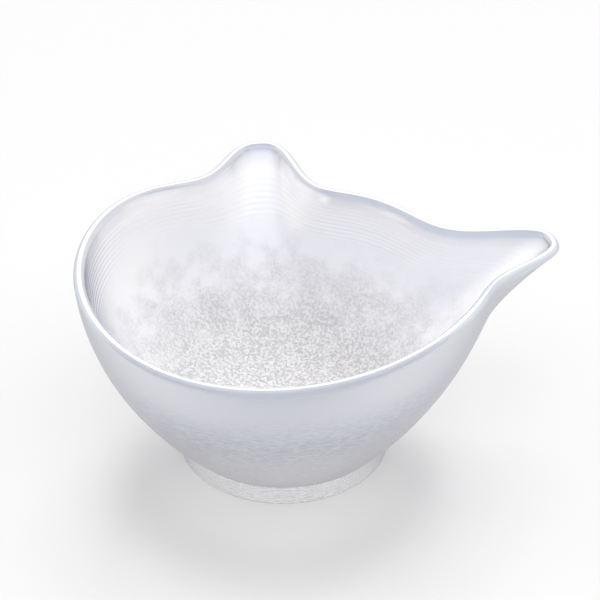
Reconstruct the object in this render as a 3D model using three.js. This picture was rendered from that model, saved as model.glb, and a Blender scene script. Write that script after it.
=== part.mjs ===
// Small footed bowl of clear pressed glass, with two pouring ears pulled out of its rim.
//
// Millimetres, +Z up. The origin is the middle of the foot's underside, and the bowl stands on z = 0.
// The two ears lie towards +Y, one on each side of the mirror plane x = 0. Angles round the bowl are
// measured from +Y, and are positive towards +X.

import * as THREE from 'three';
import { ParametricGeometry } from 'three/addons/geometries/ParametricGeometry.js';

const degrees = THREE.MathUtils.degToRad;

// ---- Driving dimensions -------------------------------------------------------------------------

// Foot: a flat disc of glass.
const FOOT_RADIUS = 31;
const FOOT_HEIGHT = 6.5;
const FOOT_TAPER = 0.4; // the foot is this much narrower where it meets the table
const FOOT_EDGE = 0.8; // rounding of its lower edge

// Wall of the bowl, from the foot up to the middle of the rim.
const RIM_RADIUS = 55.2; // mean radius of the rim's centre line, without the ears
const RIM_HEIGHT = 61.4; // mean height of the rim's centre line above the table
const WALL_BULGE = 5.8; // how far the wall bows out from a straight cone
const RIM_THICKNESS = 3.2; // the rim is a round bead of this thickness
const BASE_THICKNESS = 5; // glass between the foot and the lowest point inside
const WALL_THICKENING = 1.2; // the wall is this much thicker at the foot than at the rim
const HOLLOW_CORNER = 12; // a higher value gives a wider floor and a tighter corner inside
const HOLLOW_ROUNDING = 2.5; // a higher value gives a flatter floor

// The rim isn't a flat circle: it is set back from the ears, wider across them, and high at the sides.
const RIM_SET_BACK = 2.7;
const RIM_WIDENING = 1.4;
const RIM_TILT = 2.4; // rise towards the ears, fall away from them
const RIM_SADDLE = 1.7; // rise at both sides, fall at the front and back

// Ears.
const EAR_ANGLE = degrees(36.7); // from the mirror plane to an ear's tip
const EAR_REACH = 30.8; // from the round of the rim out to the tip
const EAR_DROP = 10.9; // how far the rim sinks where it runs out into an ear
const EAR_DROP_SPREAD = degrees(35);
const EAR_INNER_FLANK = degrees(5.8); // the flank that faces the other ear is the steeper one
const EAR_INNER_SHAPE = 1.98;
const EAR_OUTER_FLANK = degrees(10.9);
const EAR_OUTER_SHAPE = 2.14;
const EAR_TIP_ROUNDING = degrees(8); // the flanks are spread out within this angle of the tip
const EAR_DEPTH = 2.9; // a higher value keeps the channel under an ear nearer to the rim
const EAR_SPREAD_BELOW = 1.2; // the channel widens by this share from the rim to the foot

// Fineness of the faceted surface.
const STEPS_ROUND = 132;
const STEPS_UP_WALL = 13;
const STEPS_OVER_RIM = 6;
const STEPS_DOWN_HOLLOW = 17;
const FOOT_STEPS_ROUND = 96;
const TIP_CROWDING = 5; // how many more steps a tip takes than the plain rim
const TIP_CROWD_WIDTH = degrees(4);

// ---- Outline seen from above --------------------------------------------------------------------

const smoothstep = THREE.MathUtils.smoothstep;

const bothSides = (make) => make(1) + make(-1);

// Angle from the tip of the ear on one side: negative towards the other ear.
function fromTip(angle, side) {
  const away = side * angle - EAR_ANGLE;
  return THREE.MathUtils.euclideanModulo(away + Math.PI, 2 * Math.PI) - Math.PI;
}

// Share of the full ear at an angle from its tip: 1 at the tip, 0 far from it.
function earShare(away, level) {
  const inner = away < 0;
  const widening = 1 + EAR_SPREAD_BELOW * (1 - level);
  const flank = (inner ? EAR_INNER_FLANK : EAR_OUTER_FLANK) * widening;
  const shape = inner ? EAR_INNER_SHAPE : EAR_OUTER_SHAPE;
  const spread = Math.hypot(away, EAR_TIP_ROUNDING / 2) / Math.hypot(away, EAR_TIP_ROUNDING);
  const rounded = Math.abs(away) * spread;
  return 1 / (1 + (rounded / flank) ** shape);
}

// Level 0 is the top of the foot, and level 1 the centre line of the rim.
function wallRadius(level) {
  const bulge = 4 * WALL_BULGE * level * (1 - level);
  return THREE.MathUtils.lerp(FOOT_RADIUS - RIM_THICKNESS / 2, RIM_RADIUS, level) + bulge;
}

function outlineRadius(angle, level, reach) {
  const round = -RIM_SET_BACK * Math.cos(angle) - RIM_WIDENING * Math.cos(2 * angle);
  const ears = bothSides((side) => earShare(fromTip(angle, side), level));
  return wallRadius(level) + reach * (level * round + EAR_REACH * level ** EAR_DEPTH * ears);
}

function outlinePoint(angle, level, reach) {
  const radius = outlineRadius(angle, level, reach);
  return new THREE.Vector2(radius * Math.sin(angle), radius * Math.cos(angle));
}

// Unit vector that points out of the bowl, square to the outline.
function outwards(angle, level, reach) {
  const step = degrees(0.2);
  const before = outlinePoint(angle - step, level, reach);
  const along = outlinePoint(angle + step, level, reach).sub(before).normalize();
  return new THREE.Vector2(-along.y, along.x);
}

function rimRise(angle) {
  const sinking = bothSides((side) => Math.exp(-((fromTip(angle, side) / EAR_DROP_SPREAD) ** 2)));
  return RIM_TILT * Math.cos(angle) - RIM_SADDLE * Math.cos(2 * angle) - EAR_DROP * sinking;
}

// ---- Section through the plain bowl, before its rim is shaped -----------------------------------

function range(count, make) {
  return Array.from({ length: count + 1 }, (_, index) => make(index / count));
}

const wallHeight = RIM_HEIGHT - FOOT_HEIGHT;
const hollowFloor = FOOT_HEIGHT + BASE_THICKNESS;

function underside() {
  return [new THREE.Vector2(0, FOOT_HEIGHT), new THREE.Vector2(FOOT_RADIUS / 2, FOOT_HEIGHT)];
}

function outerWall(share) {
  return new THREE.Vector2(wallRadius(share) + RIM_THICKNESS / 2, FOOT_HEIGHT + wallHeight * share);
}

function overRim(share) {
  const turn = Math.PI * share;
  const bead = RIM_THICKNESS / 2;
  return new THREE.Vector2(RIM_RADIUS + bead * Math.cos(turn), RIM_HEIGHT + bead * Math.sin(turn));
}

// The inner face follows the wall down from the rim, and turns in to the floor.
function hollow(share) {
  const rise = (1 - share) ** HOLLOW_ROUNDING;
  const height = THREE.MathUtils.lerp(hollowFloor, RIM_HEIGHT, rise);
  const level = (height - FOOT_HEIGHT) / wallHeight;
  const inset = RIM_THICKNESS / 2 + WALL_THICKENING * (1 - level);
  const spread = (1 - (1 - rise) ** HOLLOW_CORNER) ** (1 / HOLLOW_ROUNDING);
  return new THREE.Vector2((wallRadius(level) - inset) * spread, height);
}

const section = [
  ...underside(),
  ...range(STEPS_UP_WALL, outerWall),
  ...range(STEPS_OVER_RIM, overRim).slice(1),
  ...range(STEPS_DOWN_HOLLOW, hollow).slice(1),
];

// ---- The bowl's surface -------------------------------------------------------------------------

// The angle of each step round the bowl, closer together at the tips of the ears.
function crowdedTurn(angle) {
  const nearTip = (tip) => Math.atan((angle - tip) / TIP_CROWD_WIDTH);
  return angle + TIP_CROWDING * TIP_CROWD_WIDTH * (nearTip(EAR_ANGLE) + nearTip(-EAR_ANGLE));
}

function stepAngle(share) {
  const wanted = THREE.MathUtils.lerp(crowdedTurn(-Math.PI), crowdedTurn(Math.PI), share);
  let [low, high] = [-Math.PI, Math.PI];
  while (high - low > 1e-9) {
    const middle = (low + high) / 2;
    if (crowdedTurn(middle) < wanted) low = middle;
    else high = middle;
  }
  return (low + high) / 2;
}

const angles = range(STEPS_ROUND, (share) => stepAngle(1 - share));
angles[STEPS_ROUND] = angles[0] = Math.PI;

// A point of the plain section, carried round to an angle and shaped with the rim and the ears.
function shaped(plain, angle) {
  const level = THREE.MathUtils.clamp((plain.y - FOOT_HEIGHT) / wallHeight, 0, 1);
  const middle = wallRadius(level);
  const reach = smoothstep(plain.x / middle, 0, 0.75);
  const point = outlinePoint(angle, level, reach);
  point.addScaledVector(outwards(angle, level, reach), plain.x - middle);
  return new THREE.Vector3(point.x, point.y, plain.y + reach * level * rimRise(angle));
}

function bowl() {
  const surface = (around, along, target) => {
    const plain = section[Math.round(along * (section.length - 1))];
    const angle = angles[Math.round(around * STEPS_ROUND)];
    target.copy(shaped(plain, angle));
  };
  const glass = new THREE.MeshStandardMaterial({ color: 0xe2e6ee, roughness: 0.12, metalness: 0 });
  const mesh = new THREE.Mesh(new ParametricGeometry(surface, STEPS_ROUND, section.length - 1), glass);
  mesh.name = 'bowl';
  return mesh;
}

// ---- The foot -----------------------------------------------------------------------------------

function foot() {
  const tableRadius = FOOT_RADIUS - FOOT_TAPER;
  const profile = new THREE.Path();
  profile.moveTo(0, 0);
  profile.lineTo(tableRadius - FOOT_EDGE, 0);
  profile.absarc(tableRadius - FOOT_EDGE, FOOT_EDGE, FOOT_EDGE, -Math.PI / 2, 0, false);
  profile.lineTo(FOOT_RADIUS, FOOT_HEIGHT);
  profile.lineTo(0, FOOT_HEIGHT);
  const glass = new THREE.MeshStandardMaterial({ color: 0xdfe3ec, roughness: 0.08, metalness: 0 });
  const mesh = new THREE.Mesh(new THREE.LatheGeometry(profile.getPoints(5), FOOT_STEPS_ROUND), glass);
  mesh.rotation.x = Math.PI / 2;
  mesh.name = 'foot';
  return mesh;
}

const group = new THREE.Group();
group.add(bowl(), foot());
export default group;
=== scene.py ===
# Looks of a small footed glass bowl with two ears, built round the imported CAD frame.
# Metres, +Z up, the same frame as the CAD: the origin is the middle of the foot's underside, and the
# ears lie towards +Y. Angles round the bowl are measured from +Y, and are positive towards +X.

import math

import bpy
import numpy as np
from mathutils import Matrix, Vector


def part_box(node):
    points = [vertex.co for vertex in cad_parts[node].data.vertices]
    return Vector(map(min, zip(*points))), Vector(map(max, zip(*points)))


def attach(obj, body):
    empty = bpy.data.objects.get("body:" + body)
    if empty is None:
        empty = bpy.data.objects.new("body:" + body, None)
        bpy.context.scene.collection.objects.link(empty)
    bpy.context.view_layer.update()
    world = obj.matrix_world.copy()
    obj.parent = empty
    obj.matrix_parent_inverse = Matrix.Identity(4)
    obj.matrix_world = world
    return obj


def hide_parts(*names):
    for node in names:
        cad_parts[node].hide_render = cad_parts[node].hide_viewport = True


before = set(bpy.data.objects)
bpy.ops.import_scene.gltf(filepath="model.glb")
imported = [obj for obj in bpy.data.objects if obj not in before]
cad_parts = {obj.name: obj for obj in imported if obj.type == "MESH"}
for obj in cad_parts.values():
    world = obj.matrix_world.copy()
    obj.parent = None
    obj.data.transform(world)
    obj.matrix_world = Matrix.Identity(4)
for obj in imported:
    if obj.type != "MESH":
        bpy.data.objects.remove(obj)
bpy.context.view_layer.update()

MM = 0.001
FULL_TURN = 2 * math.pi


# ---- Sizes of the glass ---------------------------------------------------------------------------

# Foot: a flat disc of glass.
foot_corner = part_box("foot")[1]
FOOT_RADIUS = foot_corner.x
FOOT_HEIGHT = foot_corner.z
FOOT_TAPER = 0.4 * MM
FOOT_EDGE = 0.8 * MM

# Wall of the bowl, from the foot up to the middle of the rim's bead. The last two are exponents in the
# curve of the hollow.
RIM_RADIUS = 55.2 * MM
RIM_HEIGHT = 61.4 * MM
RIM_THICKNESS = 3.2 * MM
WALL_BULGE = 5.8 * MM
BASE_THICKNESS = 5 * MM
WALL_THICKENING = 1.2 * MM
HOLLOW_CORNER = 12
HOLLOW_ROUNDING = 2.5

# The rim isn't quite a level circle: it is set back from +Y, wider along X, tilted up towards +Y, and
# higher at both sides than in front and behind.
RIM_SET_BACK = 2.7 * MM
RIM_WIDENING = 1.4 * MM
RIM_TILT = 2.4 * MM
RIM_SADDLE = 1.7 * MM

# Ears: how far they reach out and sink, and the two flanks and the blunt tip of each. The shapes of
# the flanks and the depth are exponents.
EAR_ANGLE = math.radians(36.7)
EAR_REACH = 30.8 * MM
EAR_DROP = 10.9 * MM
EAR_DROP_SPREAD = math.radians(35)
EAR_INNER_FLANK = math.radians(5.8)
EAR_INNER_SHAPE = 1.98
EAR_OUTER_FLANK = math.radians(10.9)
EAR_OUTER_SHAPE = 2.14
EAR_TIP_ROUNDING = math.radians(8)
EAR_DEPTH = 2.9
EAR_SPREAD_BELOW = 1.2

# Within this share of the wall's radius, the shape of the rim and ears fades out towards the axis.
SHAPED_SHARE = 0.75

BEAD_RADIUS = RIM_THICKNESS / 2
WALL_HEIGHT = RIM_HEIGHT - FOOT_HEIGHT
HOLLOW_FLOOR = FOOT_HEIGHT + BASE_THICKNESS

# Fine rings that the mould left in the surface: how far they stand out, the distance from one to the
# next, and the levels of the wall between which they lie.
INNER_RING = 0.07 * MM
INNER_RING_PITCH = 1.35 * MM
INNER_RING_LEVELS = (0.74, 0.94)
INNER_RING_EDGE = 0.04
OUTER_RING = 0.02 * MM
OUTER_RING_PITCH = 1.9 * MM
OUTER_WAVE_PITCH = 3.1 * MM
OUTER_RING_LEVELS = (0.08, 0.62)
OUTER_RING_EDGE = 0.08

# Fineness of the meshes.
STEPS_ROUND = 360
FINE_ANGLES = 20001
TIP_CROWDING = 5
TIP_CROWD_WIDTH = math.radians(4)
NORMAL_STEP = math.radians(0.2)
UNDER_STEPS = 4
RIM_STEPS = 18
FOOT_STEPS_ROUND = 256
FOOT_FLAT_STEPS = 6
FOOT_SIDE_STEPS = 12
FOOT_EDGE_STEPS = 8
SHARP_ANGLE = math.radians(60)


# ---- Shape of the bowl ----------------------------------------------------------------------------

def smoothstep(low, high, value):
    t = np.clip((value - low) / (high - low), 0, 1)
    return t * t * (3 - 2 * t)


def from_tip(angle, side):
    """Angle from the tip of the ear on one side, negative towards the other ear."""
    away = side * angle - EAR_ANGLE
    return (away + math.pi) % FULL_TURN - math.pi


def ear_share(away, level):
    """Share of the full ear at an angle from its tip: 1 at the tip, 0 far from it."""
    inner = away < 0
    widening = 1 + EAR_SPREAD_BELOW * (1 - level)
    flank = np.where(inner, EAR_INNER_FLANK, EAR_OUTER_FLANK) * widening
    shape = np.where(inner, EAR_INNER_SHAPE, EAR_OUTER_SHAPE)
    spread = np.hypot(away, EAR_TIP_ROUNDING / 2) / np.hypot(away, EAR_TIP_ROUNDING)
    return 1 / (1 + (abs(away) * spread / flank) ** shape)


def wall_radius(level):
    """Middle of the wall. Level 0 is the top of the foot, and level 1 the middle of the rim's bead."""
    straight = (FOOT_RADIUS - BEAD_RADIUS) * (1 - level) + RIM_RADIUS * level
    return straight + 4 * WALL_BULGE * level * (1 - level)


def outline_point(angle, level, reach):
    plain = -RIM_SET_BACK * np.cos(angle) - RIM_WIDENING * np.cos(2 * angle)
    ears = ear_share(from_tip(angle, 1), level) + ear_share(from_tip(angle, -1), level)
    radius = wall_radius(level) + reach * (level * plain + EAR_REACH * level**EAR_DEPTH * ears)
    return np.stack([radius * np.sin(angle), radius * np.cos(angle)], -1)


def outwards(angle, level, reach):
    """Unit vector that points out of the bowl, square to the outline."""
    before = outline_point(angle - NORMAL_STEP, level, reach)
    along = outline_point(angle + NORMAL_STEP, level, reach) - before
    along /= np.linalg.norm(along, axis=-1, keepdims=True)
    return np.stack([-along[..., 1], along[..., 0]], -1)


def rim_rise(angle):
    sinking = sum(np.exp(-(from_tip(angle, side) / EAR_DROP_SPREAD) ** 2) for side in (1, -1))
    return RIM_TILT * np.cos(angle) - RIM_SADDLE * np.cos(2 * angle) - EAR_DROP * sinking


def shaped(radius, height, angle):
    """Points of the plain section, carried round to the angles and shaped with the rim and ears."""
    level = np.clip((height - FOOT_HEIGHT) / WALL_HEIGHT, 0, 1)
    middle = wall_radius(level)
    reach = smoothstep(0, SHAPED_SHARE, radius / middle)
    flat = outline_point(angle, level, reach)
    flat = flat + outwards(angle, level, reach) * (radius - middle)[..., None]
    up = height + reach * level * rim_rise(angle)
    return np.concatenate([flat, up[..., None]], -1)


def crowded_turn(angle):
    """Grows fastest at the two tips, so that equal steps of it lie closest there."""
    tips = sum(np.arctan((angle - side * EAR_ANGLE) / TIP_CROWD_WIDTH) for side in (1, -1))
    return angle + TIP_CROWDING * TIP_CROWD_WIDTH * tips


def step_angles(count):
    fine = np.linspace(-math.pi, math.pi, FINE_ANGLES)
    wanted = np.linspace(crowded_turn(-math.pi), crowded_turn(math.pi), count + 1)[:-1]
    return np.interp(wanted, crowded_turn(fine), fine)


# ---- Sections -------------------------------------------------------------------------------------

# Kinds of face, which are also the places of their materials on a piece.
OUTSIDE, INSIDE, JOINT = 0, 1, 2


def steps_to_one(change, fine_steps, plain_steps):
    """Shares from 0 to 1, in fine steps up to the change and plain steps after it."""
    fine = np.linspace(0, change, fine_steps + 1)
    return np.concatenate([fine, np.linspace(change, 1, plain_steps + 1)[1:]])


# The fine steps lie where the rings are: low on the wall outside, and below the rim inside.
OUTER_LEVELS = steps_to_one(0.66, fine_steps=72, plain_steps=14)
HOLLOW_SHARES = steps_to_one(0.2, fine_steps=88, plain_steps=50)[1:]


def hollow(share):
    """The inner face follows the wall down from the rim, and turns in to the floor."""
    rise = (1 - share) ** HOLLOW_ROUNDING
    height = HOLLOW_FLOOR + (RIM_HEIGHT - HOLLOW_FLOOR) * rise
    level = (height - FOOT_HEIGHT) / WALL_HEIGHT
    inset = BEAD_RADIUS + WALL_THICKENING * (1 - level)
    spread = (1 - (1 - rise) ** HOLLOW_CORNER) ** (1 / HOLLOW_ROUNDING)
    return (wall_radius(level) - inset) * spread, height


def section(*parts):
    """Joins stretches of radius, height and kind of face into one section."""
    radius, height, kind = [], [], []
    for part_radius, part_height, part_kind in parts:
        points = len(part_radius)
        radius.append(part_radius)
        height.append(part_height + np.zeros(points))
        kind.append(np.full(points, part_kind))
    return np.concatenate(radius), np.concatenate(height), np.concatenate(kind)


def bowl_section():
    """From the axis below to the axis inside. A kind belongs to the faces after its point."""
    under = FOOT_RADIUS * np.linspace(0, 1, UNDER_STEPS, endpoint=False)
    turn = np.linspace(0, math.pi, RIM_STEPS + 1)
    bead_radius = RIM_RADIUS + BEAD_RADIUS * np.cos(turn)
    bead_height = RIM_HEIGHT + BEAD_RADIUS * np.sin(turn)
    crest = RIM_STEPS // 2
    radius, height, kind = section(
        (under, FOOT_HEIGHT, JOINT),
        (wall_radius(OUTER_LEVELS) + BEAD_RADIUS, FOOT_HEIGHT + WALL_HEIGHT * OUTER_LEVELS, OUTSIDE),
        (bead_radius[1:crest], bead_height[1:crest], OUTSIDE),
        (bead_radius[crest:], bead_height[crest:], INSIDE),
        (*hollow(HOLLOW_SHARES), INSIDE))
    return radius, height, kind[:-1]


def foot_section():
    """From the axis below to the axis on top. A kind belongs to the faces after its point."""
    table = FOOT_RADIUS - FOOT_TAPER
    flat = table - FOOT_EDGE
    under = flat * np.linspace(0, 1, FOOT_FLAT_STEPS, endpoint=False)
    turn = np.linspace(-math.pi / 2, 0, FOOT_EDGE_STEPS + 1)
    side = np.linspace(0, 1, FOOT_SIDE_STEPS, endpoint=False)[1:]
    top = FOOT_RADIUS * np.linspace(1, 0, FOOT_FLAT_STEPS + 1)
    radius, height, kind = section(
        (under, 0, OUTSIDE),
        (flat + FOOT_EDGE * np.cos(turn), FOOT_EDGE + FOOT_EDGE * np.sin(turn), OUTSIDE),
        (table + FOOT_TAPER * side, FOOT_EDGE + (FOOT_HEIGHT - FOOT_EDGE) * side, OUTSIDE),
        (top, FOOT_HEIGHT, JOINT))
    return radius, height, kind[:-1]


# ---- Meshes ---------------------------------------------------------------------------------------

def add_object(name, data):
    added = bpy.data.objects.new(name, data)
    bpy.context.scene.collection.objects.link(added)
    return added


def ring_faces(rings, around):
    """Faces between rings of points. The first and the last ring are single points on the axis."""
    ring = 1 + np.arange((rings - 2) * around).reshape(rings - 2, around)
    after = np.roll(ring, -1, axis=1)
    quads = np.stack([ring[:-1], ring[1:], after[1:], after[:-1]], -1).reshape(-1, 4)
    start = np.zeros(around, int)
    end = np.full(around, (rings - 2) * around + 1)
    first = np.stack([start, ring[0], after[0]], -1)
    last = np.stack([end, after[-1], ring[-1]], -1)
    return first.tolist() + quads.tolist() + last.tolist()


def per_point(values, around):
    """One value for each ring, repeated for each of the mesh's points."""
    return np.concatenate([values[:1], np.repeat(values[1:-1], around), values[-1:]])


def ring_mesh(name, points, kind, level, materials):
    """A closed smooth mesh, with the kind of each ring of faces and the level of each ring of points."""
    rings, around = points.shape[:2]
    corners = np.concatenate([points[:1, 0], points[1:-1].reshape(-1, 3), points[-1:, 0]])
    faces = ring_faces(rings, around)
    mesh = bpy.data.meshes.new(name)
    mesh.from_pydata(corners.tolist(), [], faces)
    for material in materials:
        mesh.materials.append(material)
    mesh.polygons.foreach_set("material_index", np.repeat(kind, around).astype(np.int32))
    mesh.polygons.foreach_set("use_smooth", np.ones(len(faces), bool))
    attribute = mesh.attributes.new("level", "FLOAT", "POINT")
    attribute.data.foreach_set("value", per_point(level, around).astype(np.float32))
    mesh.update()
    mesh.set_sharp_from_angle(angle=SHARP_ANGLE)
    return add_object(name, mesh)


def band(level, levels, soft):
    """1 between two levels and 0 beyond them, with soft edges."""
    low, high = levels
    rising = smoothstep(low - soft, low + soft, level)
    return rising * (1 - smoothstep(high - soft, high + soft, level))


def ring_lift(height, kind, angle):
    """How far the rings stand out: sharp ones below the rim inside, faint ones low on the outside."""
    level = (height - FOOT_HEIGHT) / WALL_HEIGHT
    inside = np.append(kind, INSIDE) == INSIDE
    inner = inside * band(level, INNER_RING_LEVELS, INNER_RING_EDGE)
    outer = ~inside * (height > FOOT_HEIGHT) * band(level, OUTER_RING_LEVELS, OUTER_RING_EDGE)
    up = height[:, None]
    # On their way round, the rings wander up and down and fade in and out a little.
    wander = 0.6 * np.sin(2 * angle + 0.7) + 0.4 * np.sin(5 * angle + 0.1 * up / MM)
    strength = 0.75 + 0.25 * np.sin(3 * angle + 0.2 * up / MM)
    rings = strength * np.sin(FULL_TURN * up / INNER_RING_PITCH + wander)
    ridges = np.sin(FULL_TURN * up / OUTER_RING_PITCH + 2 * wander)
    ridges = ridges + 0.6 * np.sin(FULL_TURN * up / OUTER_WAVE_PITCH - wander)
    return OUTER_RING * ridges * outer[:, None] - INNER_RING * rings * inner[:, None]


def bowl_piece(materials):
    radius, height, kind = bowl_section()
    angle = step_angles(STEPS_ROUND)[::-1]
    points = shaped(*np.broadcast_arrays(radius[:, None], height[:, None], angle))
    lift = ring_lift(height, kind, angle)
    points[..., 0] += lift * np.sin(angle)
    points[..., 1] += lift * np.cos(angle)
    level = (height - FOOT_HEIGHT) / WALL_HEIGHT
    return ring_mesh("glass_bowl", points, kind, level, materials)


def foot_piece(materials):
    radius, height, kind = foot_section()
    angle = np.linspace(math.pi, -math.pi, FOOT_STEPS_ROUND, endpoint=False)
    radius, height, angle = np.broadcast_arrays(radius[:, None], height[:, None], angle)
    points = np.stack([radius * np.sin(angle), radius * np.cos(angle), height], -1)
    return ring_mesh("glass_foot", points, kind, np.zeros(len(points)), materials)


# ---- Node graphs ----------------------------------------------------------------------------------

# How far a face that counts as seen edge on is turned from the eye: 0 is square on, and 1 edge on.
EDGE_ON = 0.98


class Graph:
    """Adds nodes to a node tree and links them. A value is a number, a colour or a node's output."""

    def __init__(self, tree):
        self.nodes = tree.nodes
        self.links = tree.links

    def put(self, value, socket):
        if isinstance(value, bpy.types.NodeSocket):
            self.links.new(value, socket)
        else:
            socket.default_value = value

    def fade(self, value, span, at_low, at_high):
        """Passes smoothly from one number to the other while the value crosses the span."""
        node = self.nodes.new("ShaderNodeMapRange")
        node.interpolation_type = "SMOOTHSTEP"
        names = ("Value", "From Min", "From Max", "To Min", "To Max")
        for name, number in zip(names, (value, *span, at_low, at_high)):
            self.put(number, node.inputs[name])
        return node.outputs["Result"]

    def mix(self, share, first, second):
        """The first colour where the share is 0, and the second where it is 1."""
        node = self.nodes.new("ShaderNodeMix")
        node.data_type = "RGBA"
        self.put(share, node.inputs["Factor"])
        colours = [socket for socket in node.inputs if socket.type == "RGBA"]
        for colour, socket in zip((first, second), colours):
            self.put(colour, socket)
        return next(socket for socket in node.outputs if socket.type == "RGBA")

    def noise(self, place, scale, detail):
        """Noise with a scale along each axis, in waves per metre."""
        mapping = self.nodes.new("ShaderNodeMapping")
        mapping.inputs["Scale"].default_value = scale
        self.put(place, mapping.inputs["Vector"])
        node = self.nodes.new("ShaderNodeTexNoise")
        node.inputs["Scale"].default_value = 1
        node.inputs["Detail"].default_value = detail
        self.put(mapping.outputs["Vector"], node.inputs["Vector"])
        return node.outputs["Fac"]

    def bump(self, height, strength, distance):
        node = self.nodes.new("ShaderNodeBump")
        node.inputs["Distance"].default_value = distance
        self.put(height, node.inputs["Height"])
        self.put(strength, node.inputs["Strength"])
        return node.outputs["Normal"]

    def grazing(self, start):
        """0 where the surface is turned from the eye by less than the start, and 1 where it is edge on."""
        weight = self.nodes.new("ShaderNodeLayerWeight")
        weight.inputs["Blend"].default_value = 0.5
        return self.fade(weight.outputs["Facing"], (start, EDGE_ON), 0, 1)

    def surface(self, shader):
        out = self.nodes.new("ShaderNodeOutputMaterial")
        self.put(shader, out.inputs["Surface"])


def new_material(name):
    material = bpy.data.materials.new(name)
    material.use_nodes = True
    material.node_tree.nodes.clear()
    return material, Graph(material.node_tree)


# ---- Glass ----------------------------------------------------------------------------------------

# Outside: satin with streaks, whose grey is partly painted shade, and painted light that makes it whiter
# low down.
# The satin tone is partly the glass's own bluish grey and partly painted shade for the darker surroundings
# seen through the outside wall.
SATIN_AND_SHADE_TINT = (0.60, 0.625, 0.70, 1)
STREAK_TINT = (0.30, 0.34, 0.48, 1)
LOW_PAINTED_LIGHT_TINT = (0.97, 0.975, 0.99, 1)
LOW_PAINTED_LIGHT_SHARE = 0.9

# Rim: a painted highlight makes it white along its crest, and painted shade makes it bluish on its inner
# lip.
CREST_HIGHLIGHT_TINT = (0.97, 0.97, 0.98, 1)
LIP_SHADE_FACING = (0.80, 0.82, 0.90, 1)
LIP_SHADE_EDGE = (0.34, 0.345, 0.45, 1)

# Inside: clear below the rim, and grainy lower down, with painted shade in the grain that darkens the
# bottom.
CLEAR_TINT = (0.99, 0.98, 0.99, 1)
GRAIN_AND_SHADE_DARK = (0.42, 0.405, 0.41, 1)
GRAIN_AND_SHADE_LIGHT = (0.73, 0.715, 0.72, 1)
COARSE_SHARE = 0.6

# Painted shade along the outline: any face of the bowl seen edge on is darkened.
EDGE_SHADE_TINT = (0.24, 0.25, 0.32, 1)
EDGE_SHADE_START = 0.4
LIP_SHADE_EDGE_START = 0.2

# What one face leaves of the light of a lamp that shines through it.
PASSING_THIN = (0.89, 0.88, 0.885, 1)
PASSING_THICK = (0.55, 0.54, 0.545, 1)
PASSING_EDGE = (0.74, 0.74, 0.75, 1)
PASSING_EDGE_START = 0.3

GLASS_IOR = 1.5
INNER_SPECULAR = 0.3
BUMP_HEIGHT = 0.3 * MM

# Levels between which one look passes into the next. Level 0 is the foot and the bottom of the wall,
# level 1 the middle of the rim's bead, and about 1.029 the crest of the bead.
THICK_START = (0.08, 0.2)
THICK_END = (0.3, 0.5)
STREAKS_END = (0.45, 0.9)
LOW_PAINTED_LIGHT_END = (0.0, 0.7)
GRAIN_START = 0.05
GRAIN_END = (0.56, 0.86)
LIP_SHADE_START = (0.98, 1.0)
CREST_HIGHLIGHT_START = (1.0262, 1.0288)

# Share of light that goes through, and roughness, each with the levels over which it changes.
OUTER_CLEARING = (0.1, 0.7)
OUTER_CLEAR_LOW = 0.6
OUTER_CLEAR_HIGH = 0.4
INNER_CLEARING = (0.15, 0.6)
INNER_CLEAR_LOW = 0.3
INNER_CLEAR_HIGH = 0.4
LIP_CLEARING = (0.92, 1.0)
LIP_CLEAR = 0.7
CREST_HIGHLIGHT_CLEARING = (1.025, 1.029)
CREST_HIGHLIGHT_CLEAR = 0.3
OUTER_POLISHING = (1.02, 1.028)
SATIN_ROUGHNESS = 0.42
CREST_ROUGHNESS = 0.06
INNER_POLISHING = (0.3, 0.98)
GRAIN_ROUGHNESS = 0.3
LIP_ROUGHNESS = 0.08

# Noise of each texture, in waves per metre, the range of it that is used, and its detail.
STREAK_SCALE = (400, 400, 2400)
STREAK_RANGE = (0.42, 0.58)
PATCH_SCALE = (150, 150, 150)
PATCH_RANGE = (0.3, 0.7)
GRAIN_SCALE = (1150, 1150, 1150)
GRAIN_RANGE = (0.36, 0.64)
COARSE_SCALE = (620, 620, 620)
COARSE_RANGE = (0.56, 0.68)
FINE_DETAIL = 3
SOFT_DETAIL = 2


def lamp_passage(graph, level):
    """What lamps meet instead of glass, so that they shine through: least where the wall is thick."""
    thick = graph.fade(level, THICK_START, 0, 1)
    thick = graph.fade(level, THICK_END, thick, 0)
    tint = graph.mix(thick, PASSING_THIN, PASSING_THICK)
    passing = graph.nodes.new("ShaderNodeBsdfTransparent")
    graph.put(graph.mix(graph.grazing(PASSING_EDGE_START), tint, PASSING_EDGE), passing.inputs["Color"])
    return passing.outputs["BSDF"]


def glass_shader(graph):
    """A Principled shader of glass, with the place and the level that drive its look."""
    shader = graph.nodes.new("ShaderNodeBsdfPrincipled")
    shader.inputs["IOR"].default_value = GLASS_IOR
    attribute = graph.nodes.new("ShaderNodeAttribute")
    attribute.attribute_name = "level"
    level = attribute.outputs["Fac"]
    either = graph.nodes.new("ShaderNodeMixShader")
    light_path = graph.nodes.new("ShaderNodeLightPath")
    graph.put(light_path.outputs["Is Shadow Ray"], either.inputs[0])
    graph.put(shader.outputs["BSDF"], either.inputs[1])
    graph.put(lamp_passage(graph, level), either.inputs[2])
    graph.surface(either.outputs["Shader"])
    place = graph.nodes.new("ShaderNodeTexCoord").outputs["Object"]
    return shader, place, level


def finish_tint(graph, shader, level, tint):
    """Adds the painted highlight along the crest and the painted shade along the outline to a face's
    colour.
    """
    # Painted highlight: the crest of the rim is coloured near white.
    tint = graph.mix(graph.fade(level, CREST_HIGHLIGHT_START, 0, 1), tint, CREST_HIGHLIGHT_TINT)
    # Painted shade: faces seen edge on are darkened.
    tint = graph.mix(graph.grazing(EDGE_SHADE_START), tint, EDGE_SHADE_TINT)
    graph.put(tint, shader.inputs["Base Color"])


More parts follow.
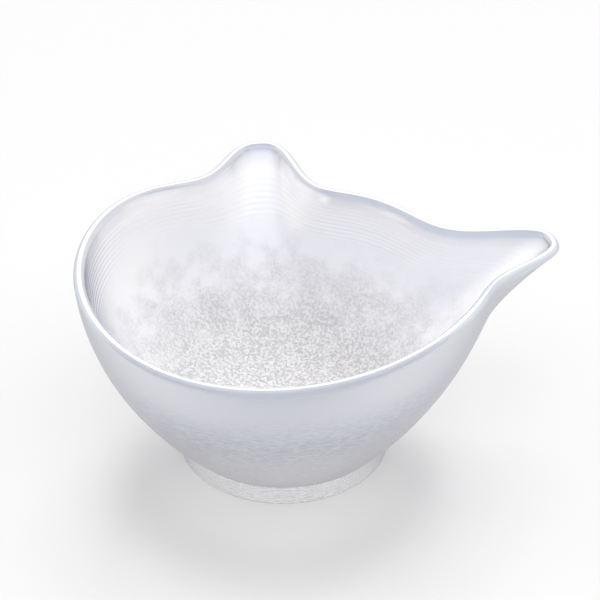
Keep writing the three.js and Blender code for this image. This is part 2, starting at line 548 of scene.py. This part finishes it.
def finish_clearness(graph, shader, level, clear):
    """Share of glass that light goes through, lowered along the crest so that the painted highlight there
    shows solid.
    """
    clear = graph.fade(level, CREST_HIGHLIGHT_CLEARING, clear, CREST_HIGHLIGHT_CLEAR)
    graph.put(clear, shader.inputs["Transmission Weight"])


def outside_material():
    """Satin glass, its grey partly painted shade, with fine level streaks and painted light low down,
    polished on the crest of the rim.
    """
    material, graph = new_material("glass_outside")
    shader, place, level = glass_shader(graph)
    streaks = graph.noise(place, STREAK_SCALE, FINE_DETAIL)
    amount = graph.fade(level, STREAKS_END, 1, 0)
    satin_and_painted_light = graph.mix(graph.fade(streaks, STREAK_RANGE, 0, 1), STREAK_TINT, SATIN_AND_SHADE_TINT)
    satin_and_painted_light = graph.mix(amount, SATIN_AND_SHADE_TINT, satin_and_painted_light)
    # Painted light: the colour is lighter low on the wall and on the foot, lifting the shade near the
    # floor.
    satin_and_painted_light = graph.mix(graph.fade(level, LOW_PAINTED_LIGHT_END, LOW_PAINTED_LIGHT_SHARE, 0), satin_and_painted_light, LOW_PAINTED_LIGHT_TINT)
    finish_tint(graph, shader, level, satin_and_painted_light)
    clear = graph.fade(level, OUTER_CLEARING, OUTER_CLEAR_LOW, OUTER_CLEAR_HIGH)
    finish_clearness(graph, shader, level, clear)
    rough = graph.fade(level, OUTER_POLISHING, SATIN_ROUGHNESS, CREST_ROUGHNESS)
    graph.put(rough, shader.inputs["Roughness"])
    graph.put(graph.bump(streaks, amount, BUMP_HEIGHT), shader.inputs["Normal"])
    return material


def grain_and_shade_tint(graph, place, grain):
    """Fine grain, with coarser dark specks over it; both tints are kept dark partly as painted shade."""
    fine = graph.mix(graph.fade(grain, GRAIN_RANGE, 0, 1), GRAIN_AND_SHADE_DARK, GRAIN_AND_SHADE_LIGHT)
    coarse = graph.noise(place, COARSE_SCALE, SOFT_DETAIL)
    return graph.mix(graph.fade(coarse, COARSE_RANGE, 0, COARSE_SHARE), fine, GRAIN_AND_SHADE_DARK)


def inside_material():
    """Grainy lower down, where the glass lay on the mould, with painted shade in the grain's dark tints,
    and clear and smooth below the rim.
    """
    material, graph = new_material("glass_inside")
    shader, place, level = glass_shader(graph)
    shader.inputs["Specular IOR Level"].default_value = INNER_SPECULAR
    patches = graph.noise(place, PATCH_SCALE, SOFT_DETAIL)
    grain_end = graph.fade(patches, PATCH_RANGE, *GRAIN_END)
    amount = graph.fade(level, (GRAIN_START, grain_end), 1, 0)
    grain = graph.noise(place, GRAIN_SCALE, FINE_DETAIL)
    # The grain is real, and its dark tints also carry painted shade, so the bottom of the hollow is
    # darker.
    tint = graph.mix(amount, CLEAR_TINT, grain_and_shade_tint(graph, place, grain))
    # Painted shade: the inner lip of the rim is coloured bluish grey, darker where it is seen edge on.
    lip_shade = graph.mix(graph.grazing(LIP_SHADE_EDGE_START), LIP_SHADE_FACING, LIP_SHADE_EDGE)
    tint = graph.mix(graph.fade(level, LIP_SHADE_START, 0, 1), tint, lip_shade)
    finish_tint(graph, shader, level, tint)
    clear = graph.fade(level, INNER_CLEARING, INNER_CLEAR_LOW, INNER_CLEAR_HIGH)
    clear = graph.fade(level, LIP_CLEARING, clear, LIP_CLEAR)
    finish_clearness(graph, shader, level, clear)
    rough = graph.fade(level, INNER_POLISHING, GRAIN_ROUGHNESS, LIP_ROUGHNESS)
    graph.put(rough, shader.inputs["Roughness"])
    graph.put(graph.bump(grain, amount, BUMP_HEIGHT), shader.inputs["Normal"])
    return material


def joint_material():
    """Where the bowl and the foot are melted together, light goes straight on."""
    material, graph = new_material("melted_joint")
    graph.surface(graph.nodes.new("ShaderNodeBsdfTransparent").outputs["BSDF"])
    return material


# ---- Studio ---------------------------------------------------------------------------------------

CAMERA_AZIMUTH = math.radians(32.83)
CAMERA_ELEVATION = math.radians(33.94)
CAMERA_ROLL = math.radians(-0.29)
CAMERA_DISTANCE = 745 * MM
CAMERA_LENS = 156.4
CAMERA_SENSOR = 36
CAMERA_REACH = 50
AIM_RIGHT = 4.92 * MM
AIM_HEIGHT = 50.2 * MM

FLOOR_TINT = (0.615, 0.61, 0.605, 1)
FLOOR_ROUGHNESS = 0.25
FLOOR_SPECULAR = 0.3
FLOOR_HALF = 6
FLOOR_GAP = 0.05 * MM

# White tent, brightest behind the bowl and overhead, darker low down on the camera's side.
TENT_TINT = (0.96, 0.975, 1.0, 1)
TENT_TILT = math.radians(35)
TENT_SPAN = (-0.8, 0.4)
TENT_DARK = 0.36
TENT_BRIGHT = 0.60


def towards(azimuth, elevation):
    """Unit vector at an elevation and at an azimuth, which is 0 at -Y and grows towards +X."""
    level = math.cos(elevation)
    return Vector((math.sin(azimuth) * level, -math.cos(azimuth) * level, math.sin(elevation)))


def facing_back(direction):
    """Rotation of a camera or a lamp that stands in the direction and points back at the bowl."""
    return direction.to_track_quat("Z", "Y").to_matrix().to_4x4()


def make_camera():
    data = bpy.data.cameras.new("camera")
    data.lens = CAMERA_LENS
    data.sensor_width = CAMERA_SENSOR
    data.clip_end = CAMERA_REACH
    camera = add_object("camera", data)
    right = Vector((math.cos(CAMERA_AZIMUTH), math.sin(CAMERA_AZIMUTH), 0))
    aim = right * AIM_RIGHT + Vector((0, 0, AIM_HEIGHT))
    back = towards(CAMERA_AZIMUTH, CAMERA_ELEVATION)
    place = Matrix.Translation(aim + back * CAMERA_DISTANCE)
    camera.matrix_world = place @ facing_back(back) @ Matrix.Rotation(CAMERA_ROLL, 4, "Z")
    bpy.context.scene.camera = camera


def floor_material():
    material, graph = new_material("white_floor")
    shader = graph.nodes.new("ShaderNodeBsdfPrincipled")
    shader.inputs["Base Color"].default_value = FLOOR_TINT
    shader.inputs["Roughness"].default_value = FLOOR_ROUGHNESS
    shader.inputs["Specular IOR Level"].default_value = FLOOR_SPECULAR
    graph.surface(shader.outputs["BSDF"])
    return material


def make_floor():
    mesh = bpy.data.meshes.new("floor")
    signs = ((-1, -1), (1, -1), (1, 1), (-1, 1))
    corners = [(x * FLOOR_HALF, y * FLOOR_HALF, -FLOOR_GAP) for x, y in signs]
    mesh.from_pydata(corners, [], [(0, 1, 2, 3)])
    mesh.materials.append(floor_material())
    floor = add_object("floor", mesh)


def sun(name, azimuth, elevation, spread, strength):
    """A soft lamp that isn't mirrored in the glass. The azimuth is from the camera's, positive to its
    right, and all angles are in degrees."""
    data = bpy.data.lights.new(name, "SUN")
    data.angle = math.radians(spread)
    data.energy = strength
    lamp = add_object(name, data)
    away = towards(CAMERA_AZIMUTH + math.radians(azimuth), math.radians(elevation))
    lamp.matrix_world = Matrix.Translation(away) @ facing_back(away)
    lamp.visible_glossy = False
    lamp.visible_transmission = False


def make_tent():
    world = bpy.data.worlds.new("studio")
    world.use_nodes = True
    graph = Graph(world.node_tree)
    background = graph.nodes["Background"]
    background.inputs["Color"].default_value = TENT_TINT
    dot = graph.nodes.new("ShaderNodeVectorMath")
    dot.operation = "DOT_PRODUCT"
    graph.put(graph.nodes.new("ShaderNodeTexCoord").outputs["Generated"], dot.inputs[0])
    dot.inputs[1].default_value = towards(CAMERA_AZIMUTH + math.pi, TENT_TILT)
    strength = graph.fade(dot.outputs["Value"], TENT_SPAN, TENT_DARK, TENT_BRIGHT)
    graph.put(strength, background.inputs["Strength"])
    bpy.context.scene.world = world


make_camera()
make_floor()
make_tent()
sun("key", azimuth=174, elevation=46, spread=26, strength=2.65)
sun("top", azimuth=10, elevation=64, spread=56, strength=1.3)
sun("left", azimuth=-100, elevation=20, spread=50, strength=0.6)
sun("right", azimuth=100, elevation=20, spread=50, strength=0.65)
bpy.context.scene.view_settings.view_transform = "Standard"

glass = [outside_material(), inside_material(), joint_material()]
bowl = bowl_piece(glass)
foot = foot_piece(glass)
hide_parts("bowl")
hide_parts("foot")
for piece in (bowl, foot):
    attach(piece, "root")
